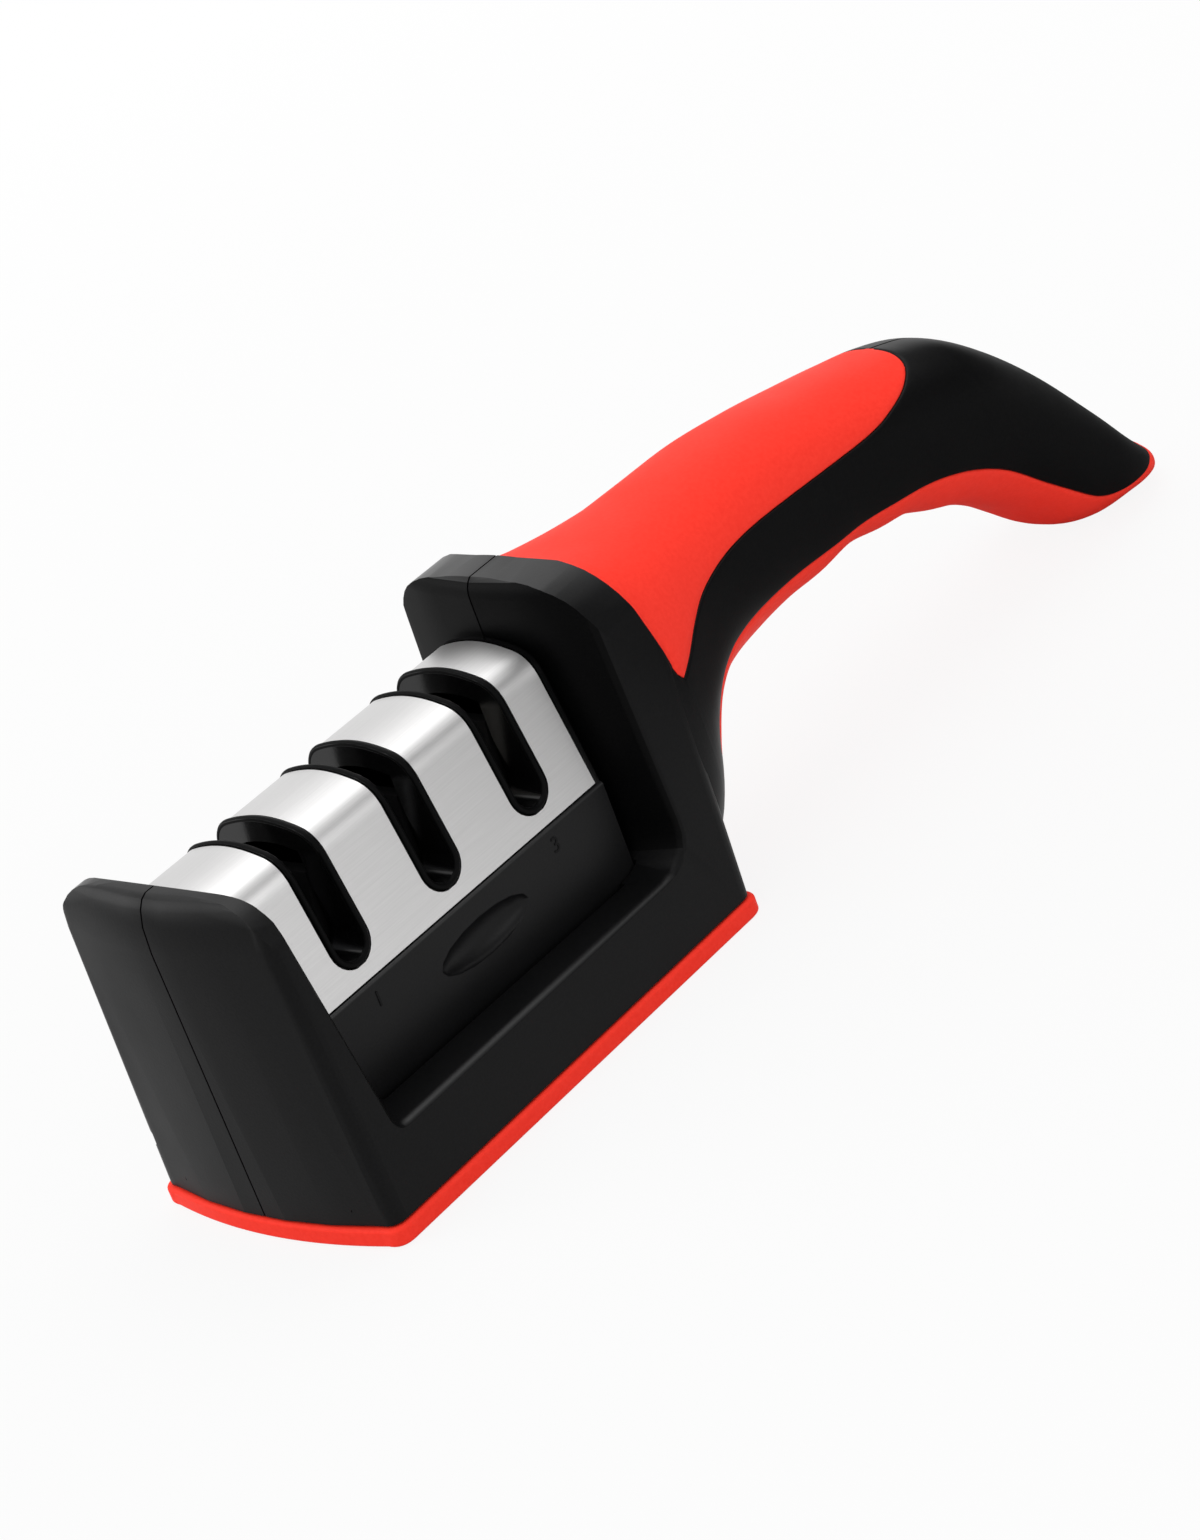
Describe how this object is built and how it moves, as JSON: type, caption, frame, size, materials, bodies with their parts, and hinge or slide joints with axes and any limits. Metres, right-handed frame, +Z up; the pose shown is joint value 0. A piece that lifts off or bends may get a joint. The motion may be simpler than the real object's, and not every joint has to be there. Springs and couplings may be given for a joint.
{
  "type": "hand-held knife sharpener",
  "caption": "Hand-held pull-through knife sharpener: a moulded housing with a gripped handle and rubber base, and a lift-out slotted cartridge with crossed abrasives under a steel cover.",
  "frame": {"origin": "middle of the base pad's flat underside, on the mid-plane between the two shells", "axes": "+X toward the handle's tip, +Y to the left shell's side, +Z up from the table"},
  "size_m": [0.2149, 0.0476, 0.0605],
  "materials": {
    "black_plastic": "satin moulded black plastic",
    "red_rubber": "soft matt red rubber",
    "cover_steel": "fine brushed stainless sheet",
    "screw_steel": "zinc-plated steel",
    "carbide": "dark ground carbide",
    "diamond_steel": "grit-coated steel",
    "white_ceramic": "matt white ceramic"
  },
  "bodies": {
    "housing": {"left_shell": "black_plastic", "right_shell": "black_plastic", "base_pad": "red_rubber", "top_grip": "red_rubber", "finger_grip": "red_rubber", "shell_screw_1": "screw_steel", "shell_screw_2": "screw_steel", "shell_screw_3": "screw_steel", "shell_screw_4": "screw_steel"},
    "cartridge": {"cartridge_body": "black_plastic", "steel_cover": "cover_steel", "cartridge_floor": "black_plastic", "cartridge_screw_1": "screw_steel", "cartridge_screw_2": "screw_steel", "cartridge_screw_3": "screw_steel", "cartridge_screw_4": "screw_steel", "coarse_holder": "black_plastic", "medium_holder": "black_plastic", "fine_holder": "black_plastic", "carbide_blade_left": "carbide", "carbide_blade_right": "carbide", "diamond_rod_left": "diamond_steel", "diamond_rod_right": "diamond_steel", "ceramic_rod_left": "white_ceramic", "ceramic_rod_right": "white_ceramic"}
  },
  "joints": [
    {"name": "cartridge_lift", "type": "slide", "parent": "housing", "child": "cartridge", "axis": [0, 0, 1], "range_m": [0, 0.056]}
  ]
}
